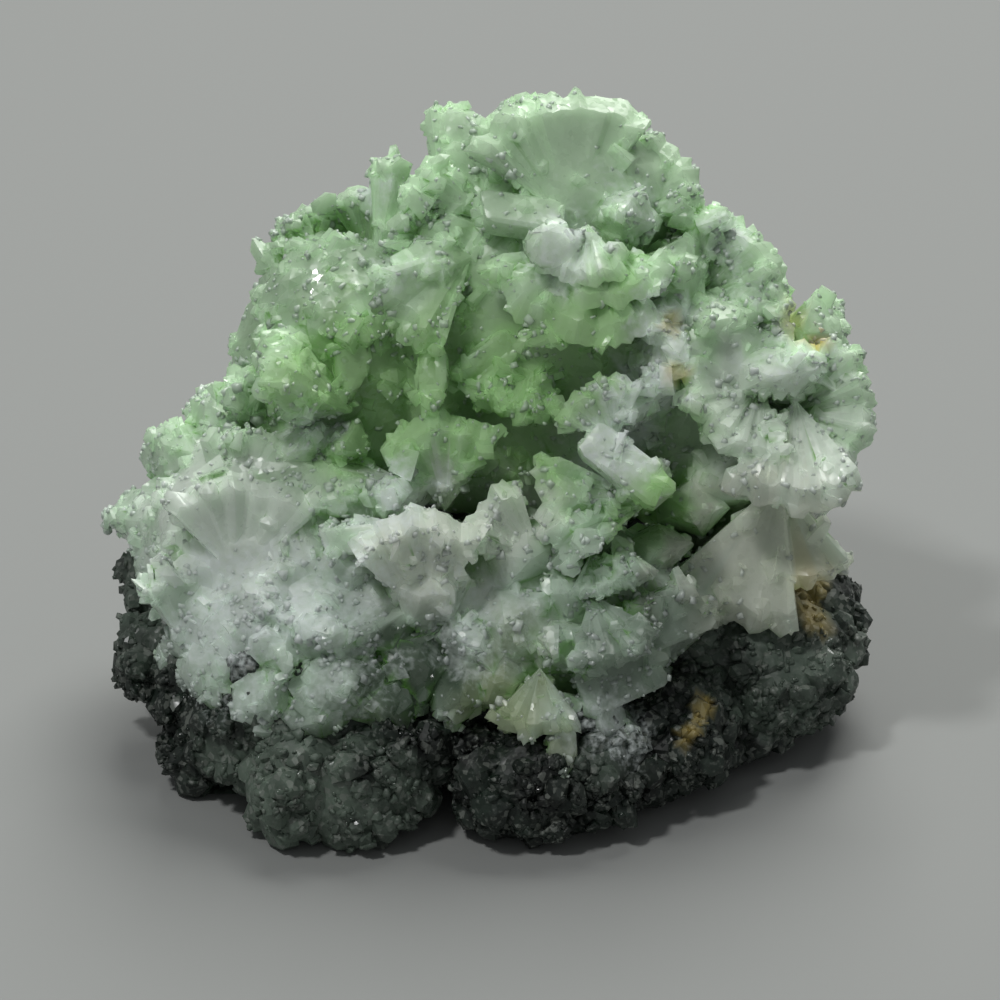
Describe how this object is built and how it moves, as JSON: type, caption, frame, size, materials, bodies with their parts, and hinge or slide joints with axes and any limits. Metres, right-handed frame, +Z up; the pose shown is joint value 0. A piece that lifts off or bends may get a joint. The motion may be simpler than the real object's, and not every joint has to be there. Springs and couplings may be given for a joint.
{
  "type": "rough prehnite specimen",
  "caption": "Rough mineral specimen: a steep mound of pale green prehnite fans and blocks on a dark, lumpy rock base that rests on its own feet.",
  "frame": {"origin": "middle of the underside's bounding rectangle, on the ground", "axes": "+Z up, +X to the viewer's right along the widest spread, -Y towards the crystal face that the picture shows"},
  "size_m": [0.0622, 0.0458, 0.0524],
  "materials": {
    "matrix": "rough",
    "prehnite": "satin"
  },
  "bodies": {
    "root": {"matrix": "matrix", "prehnite": "prehnite"}
  },
  "joints": []
}
